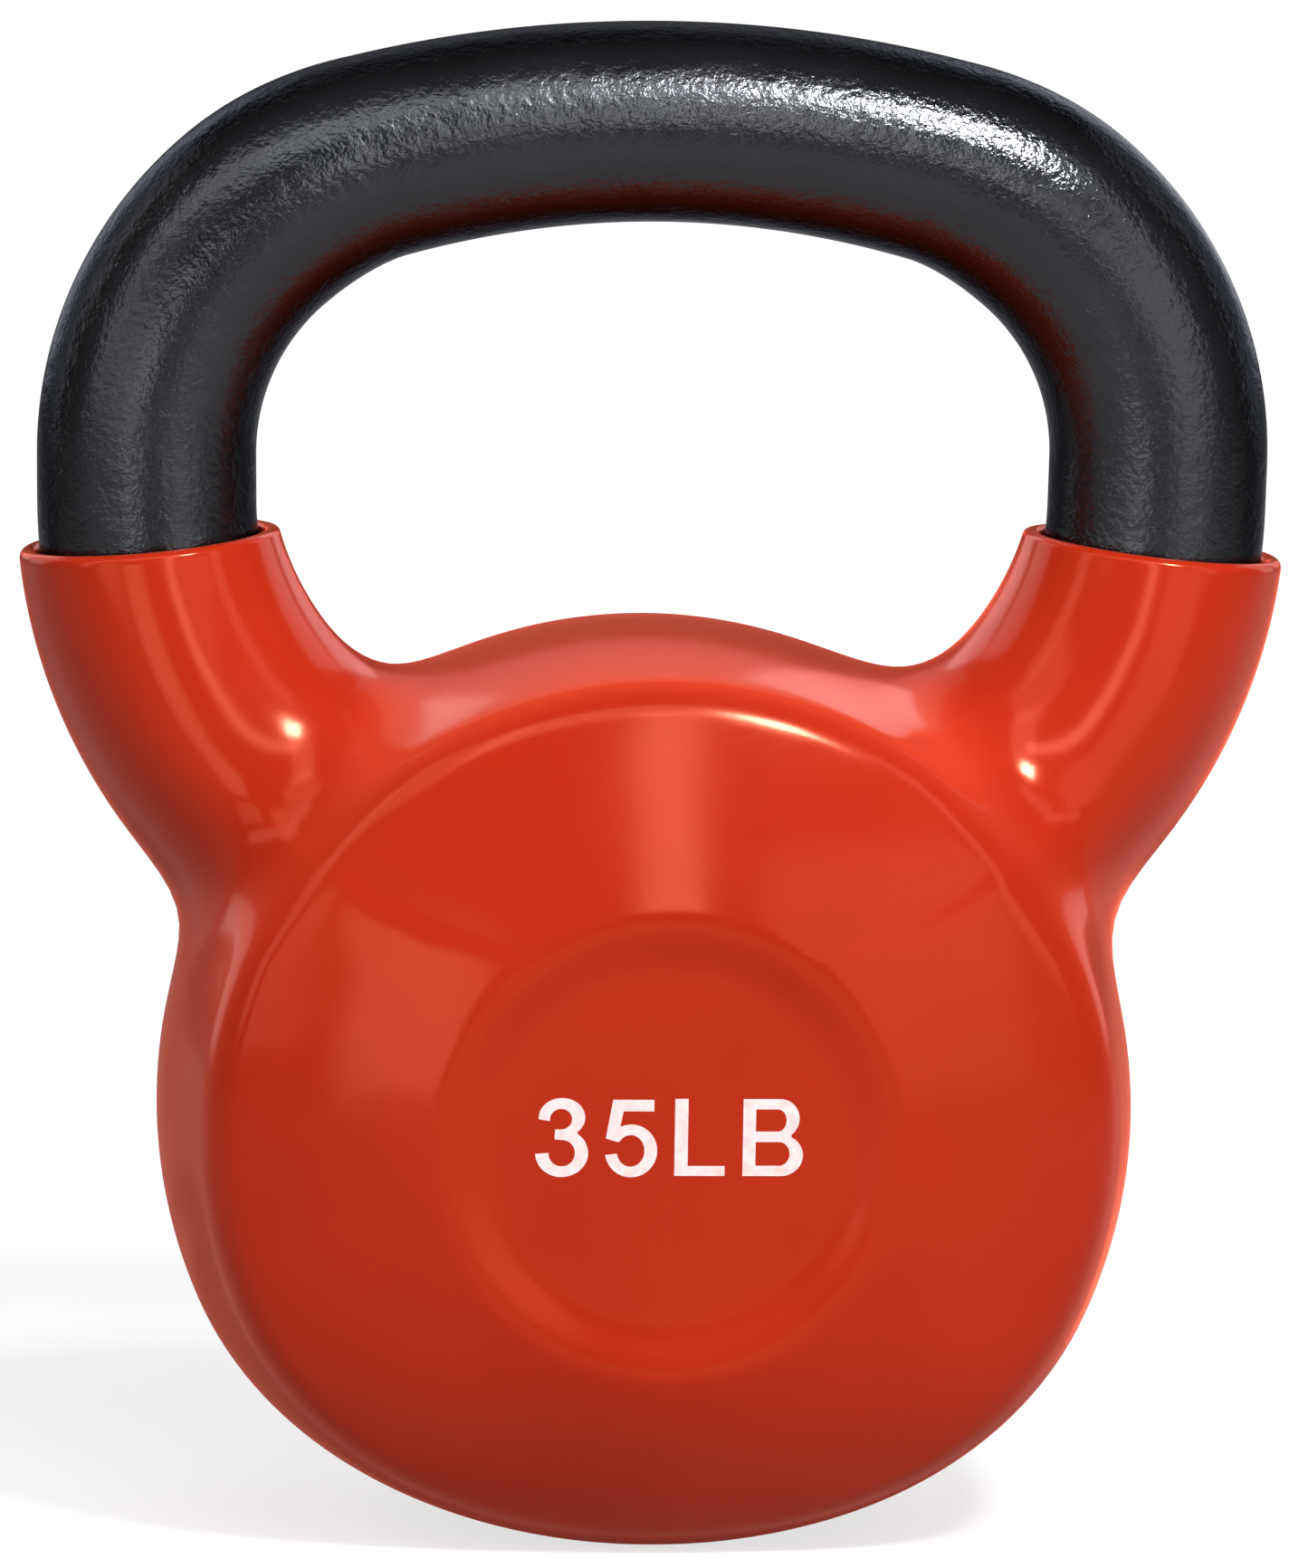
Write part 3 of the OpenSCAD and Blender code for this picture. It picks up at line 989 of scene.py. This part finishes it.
@dataclass
class IronCasting(BlendedPiece):
    """The casting: the bell under the jacket, and the handle from horn to horn."""

    name: str = "cast_bell_and_handle"
    corner_steps: int = 12
    grip_steps: int = 7
    # How far the cage's rings at the bottom of the groove and under it lie outside the collar's bore
    root_growth: tuple[float, float] = (1.2, 1.6)

    def horn_rings(self) -> list[Ring]:
        """Lists the rings from the root of the right horn up to the middle of the grip.

        Returns:
            The rings, in millimetres and degrees.
        """
        form = self.form
        radius = form.leg_radius
        bottom, below = (form.rim_radius - self.inset + growth for growth in self.root_growth)
        rings = [self.horn_stop(depth, size) for depth, size in (
            (form.groove_depth + self.root_ring, below), (form.groove_depth, bottom),
            (form.groove_depth / 2, radius), (0.0, radius))]
        x, z = form.leg_top + form.leg_length * form.leg_way
        rings.append(Ring(x, z, form.leg_turn, radius))
        corner = np.linspace(form.leg_turn, form.corner_start, self.corner_steps + 1)
        grip = np.linspace(form.corner_start, 0, self.grip_steps + 1)[1:]
        for turns, pivot, arc in ((corner, form.corner_pivot, form.corner_arc),
                                  (grip, form.grip_pivot, form.grip_arc)):
            for turn in turns:
                x, z = pivot + arc * outward(turn)
                rings.append(Ring(x, z, turn, form.iron_radius(turn)))
        return rings

    def build(self, finish: PowderCoat) -> None:
        """Models and dresses the casting.

        Args:
            finish: The textured black coat.
        """
        form = self.form
        self.inset = form.wall
        self.lay_cage()
        apply_modifier(self.object, "SUBSURF", levels=self.smooth_levels)
        self.settle(form.casting)
        self.finish(finish.material(), Slot.IRON, ["iron_casting"])


@dataclass(frozen=True)
class Arc:
    """Part of an ellipse in the outline of a figure, in heights of the figure and degrees."""

    x: float
    z: float
    wide: float
    high: float
    start: float
    end: float

    def points(self, steps: int = 28) -> list[tuple[float, float]]:
        """Lists points along the arc, as x and z."""
        angles = np.radians(np.linspace(self.start, self.end, steps))
        return [(self.x + self.wide * math.cos(a), self.z + self.high * math.sin(a)) for a in angles]


@dataclass(frozen=True)
class Figure:
    """One printed figure: where its left edge stands, in millimetres, and its outlines."""

    left: float
    outlines: tuple[tuple[Arc | tuple[float, float], ...], ...]

    def splines(self) -> list[list[tuple[float, float]]]:
        """Lists the closed outlines as points in heights of the figure."""
        return [[point for part in outline for point in (part.points() if isinstance(part, Arc) else [part])]
                for outline in self.outlines]


THREE = Figure(-22.7, ((
    Arc(0.340, 0.752, 0.299, 0.254, 185, -50), Arc(0.343, 0.290, 0.340, 0.310, 52, -178),
    (0.164, 0.2925), Arc(0.343, 0.290, 0.170, 0.173, -180, 95),
    (0.248, 0.469), (0.255, 0.597), Arc(0.328, 0.731, 0.143, 0.134, -90, 190)),))
FIVE = Figure(-11.0, ((
    (0.110, 0.985), (0.639, 0.985), (0.639, 0.836), (0.245, 0.836), (0.209, 0.651),
    Arc(0.349, 0.322, 0.337, 0.343, 114, -171), (0.164, 0.284),
    Arc(0.343, 0.322, 0.179, 0.206, -170, 145), (0.164, 0.439), (0.021, 0.484)),))
LETTER_L = Figure(1.0, (((0, 1), (0.17, 1), (0.17, 0.128), (0.648, 0.128), (0.648, 0), (0, 0)),))
LETTER_B = Figure(12.6, (
    ((0, 1), Arc(0.478, 0.745, 0.247, 0.255, 90, -54), Arc(0.49, 0.268, 0.286, 0.268, 62, -90), (0, 0)),
    ((0.164, 0.866), Arc(0.45, 0.722, 0.108, 0.144, 90, -90), (0.164, 0.578)),
    ((0.164, 0.442), Arc(0.47, 0.288, 0.133, 0.154, 90, -90), (0.164, 0.134))))


@dataclass
class WeightMark(Piece):
    """The weight, printed as plain figures and a unit on the floor of the front recess.

    The film of ink is sunk a little way into the vinyl. All sizes are in millimetres.
    """

    name: str = "weight_mark"
    figures: tuple[Figure, ...] = (THREE, FIVE, LETTER_L, LETTER_B)
    height: float = 13.2
    middle: float = 74.8
    film: float = 0.06
    sunk: float = 0.01

    def build(self, finish: PadInk) -> None:
        """Models and dresses the mark: filled outlines, turned to a mesh and stood up.

        Args:
            finish: The pale ink.
        """
        deselect()
        bpy.ops.curve.primitive_bezier_circle_add()
        curve = bpy.context.object
        curve.data.dimensions = "2D"
        curve.data.fill_mode = "BOTH"
        curve.data.extrude = self.film * MM / 2
        curve.data.splines.clear()
        for figure in self.figures:
            for outline in figure.splines():
                spline = curve.data.splines.new("POLY")
                spline.points.add(len(outline) - 1)
                spline.use_cyclic_u = True
                for point, (x, z) in zip(spline.points, outline):
                    across, up = figure.left + self.height * x, self.height * (z - 0.5)
                    point.co = (across * MM, up * MM, 0, 1)
        bpy.ops.object.convert(target="MESH")
        self.object = bpy.context.object
        self.object.rotation_euler = (math.pi / 2, 0, 0)
        front = self.sunk - self.film / 2 - self.form.recess_floor
        self.object.location = Vector((0, front, self.middle)) * MM
        close_seams(self.object, 0.002)
        self.finish(finish.material(), Slot.VINYL)
        bpy.ops.object.shade_flat()


# ---- Studio ----

@dataclass(frozen=True)
class Softbox:
    """A rectangular lamp that faces the middle of the kettlebell, sizes in metres.

    Its level is how bright it looks, where 1 is a white wall.
    """

    name: str
    azimuth: float
    elevation: float
    distance: float
    size: tuple[float, float]
    level: float

    def build(self, target: Vector) -> None:
        """Adds the lamp.

        Args:
            target: The point that it faces.
        """
        back = direction(self.azimuth, self.elevation)
        lamp = bpy.data.lights.new(self.name, "AREA")
        lamp.shape = "RECTANGLE"
        lamp.size, lamp.size_y = self.size
        lamp.energy = self.level * math.pi * self.size[0] * self.size[1]
        holder = add_object(self.name, lamp)
        holder.location = target + back * self.distance
        holder.rotation_euler = (-back).to_track_quat("-Z", "Y").to_euler()


@dataclass
class Studio:
    """Floor, lamps, surroundings and camera, in metres and degrees."""

    target: Vector = field(default_factory=lambda: Vector((0.0, 0.0, 0.125)))
    camera_azimuth: float = -5.0
    camera_elevation: float = 7.93
    camera_distance: float = 2.4625
    camera_shift: tuple[float, float] = (0.00098, 0.00289)
    camera_roll: float = 0.983
    lens: float = 328.0
    floor_size: float = 60.0
    floor_paint: float = 0.35
    # The floor's own light near the kettlebell, which fades to 1 between two distances
    floor_glow: float = 0.72
    floor_fade: tuple[float, float] = (0.2, 1.6)
    floor_gloss: float = 0.12
    world_light: float = 0.08
    world_gloss: float = 0.14
    lamps: tuple[Softbox, ...] = (
        Softbox("left_strip", -65, 25, 1.3, (0.22, 1.0), 1.8),
        Softbox("right_strip", 52, 25, 1.3, (0.22, 1.0), 1.8),
        Softbox("front_strip", 5, 30, 0.75, (0.09, 0.5), 5.5),
        Softbox("front_top", -5, 52, 1.3, (0.9, 0.4), 2.6),
        Softbox("key", 27, 46, 1.4, (0.22, 0.22), 124.0),
        Softbox("left_up", -45, 45, 1.3, (0.6, 0.5), 1.6),
        Softbox("left_mid", -45, 10, 1.3, (0.4, 0.5), 1.4),
        Softbox("left_panel", -23, 2, 1.4, (0.4, 0.45), 2.6),
        Softbox("right_panel", 30, 5, 1.4, (0.75, 0.85), 1.3),
        Softbox("left_side", -120, 20, 1.3, (0.5, 1.0), 1.2),
        Softbox("right_side", 120, 20, 1.3, (0.5, 1.0), 1.0),
        Softbox("back", 180, 42, 1.4, (1.3, 0.9), 0.4),
        Softbox("back_left", -150, 20, 1.4, (0.6, 0.9), 1.3),
        Softbox("back_right", 150, 20, 1.4, (0.6, 0.9), 1.3),
    )

    def build_camera(self) -> None:
        """Adds the camera: a long lens, a little left of the middle and above it."""
        back = direction(self.camera_azimuth, self.camera_elevation)
        right = direction(self.camera_azimuth + 90, 0)
        up = back.cross(right)
        roll = math.radians(self.camera_roll)
        turned_right = right * math.cos(roll) + up * math.sin(roll)
        turned_up = up * math.cos(roll) - right * math.sin(roll)
        data = bpy.data.cameras.new("camera")
        data.lens = self.lens
        camera = add_object("camera", data)
        aim = self.target + right * self.camera_shift[0] + up * self.camera_shift[1]
        pose = Matrix((turned_right, turned_up, back)).transposed().to_4x4()
        pose.translation = aim + back * self.camera_distance
        camera.matrix_world = pose
        bpy.context.scene.camera = camera

    def glow(self, tree: NodeTree, soft: float, glossy: float) -> NodeSocket:
        """Adds a strength that is 1 for the camera and through something clear.

        Args:
            tree: The node tree that it goes in.
            soft: Strength as a source of light.
            glossy: Strength in a gloss.

        Returns:
            The strength.
        """
        path = add_node(tree, "ShaderNodeLightPath")
        plain = add_node(tree, "ShaderNodeMath", {"operation": "MAXIMUM"},
                         in0=path.outputs["Is Camera Ray"], in1=path.outputs["Is Transmission Ray"])
        seen = add_node(tree, "ShaderNodeMath", {"operation": "MULTIPLY_ADD"}, in0=plain.outputs[0],
                        in1=1.0 - soft, in2=soft)
        return add_node(tree, "ShaderNodeMath", {"operation": "MULTIPLY_ADD"}, in1=glossy - soft,
                        in0=path.outputs["Is Glossy Ray"], in2=seen.outputs[0]).outputs[0]

    def build_floor(self) -> None:
        """Adds the pale floor, which the camera sees as white apart from the soft shadow."""
        deselect()
        bpy.ops.mesh.primitive_plane_add(size=self.floor_size)
        floor = bpy.context.object
        floor.name = "floor"
        material, tree, where = new_material("pale_floor")
        grey = self.floor_paint
        paint = add_node(tree, "ShaderNodeBsdfDiffuse", Color=(grey, grey, grey, 1.0))
        away = add_node(tree, "ShaderNodeVectorMath", {"operation": "LENGTH"}, in0=where)
        pale = add_node(tree, "ShaderNodeMapRange", {"interpolation_type": "SMOOTHSTEP"},
                        Value=away.outputs["Value"], From_Min=self.floor_fade[0],
                        From_Max=self.floor_fade[1], To_Min=self.floor_glow, To_Max=1.0)
        glow = add_node(tree, "ShaderNodeMath", {"operation": "MULTIPLY"},
                        in0=self.glow(tree, 0.0, self.floor_gloss), in1=pale.outputs["Result"])
        white = add_node(tree, "ShaderNodeEmission", Color=(1.0, 1.0, 1.0, 1.0), Strength=glow.outputs[0])
        both = add_node(tree, "ShaderNodeAddShader", in0=paint.outputs[0], in1=white.outputs[0])
        add_node(tree, "ShaderNodeOutputMaterial", Surface=both.outputs[0])
        floor.data.materials.append(material)

    def build_world(self) -> None:
        """Sets surroundings that the camera sees as white and that add a faint even light."""
        world = bpy.data.worlds.new("studio")
        bpy.context.scene.world = world
        world.use_nodes = True
        tree = world.node_tree
        tree.nodes.clear()
        light = add_node(tree, "ShaderNodeBackground",
                         Strength=self.glow(tree, self.world_light, self.world_gloss))
        add_node(tree, "ShaderNodeOutputWorld", Surface=light.outputs[0])

    def build(self) -> None:
        """Builds the whole studio."""
        bpy.context.scene.view_settings.view_transform = "Standard"
        self.build_camera()
        self.build_floor()
        self.build_world()
        for box in self.lamps:
            box.build(self.target)


def main() -> None:
    """Builds the studio, then the pieces in order."""
    logging.basicConfig(level=logging.INFO, format="%(name)s: %(message)s")
    form = KettlebellForm()
    Studio().build()
    IronCasting(form).build(PowderCoat())
    VinylJacket(form).build(VinylFinish())
    WeightMark(form).build(PadInk())


if __name__ == "__main__":
    main()
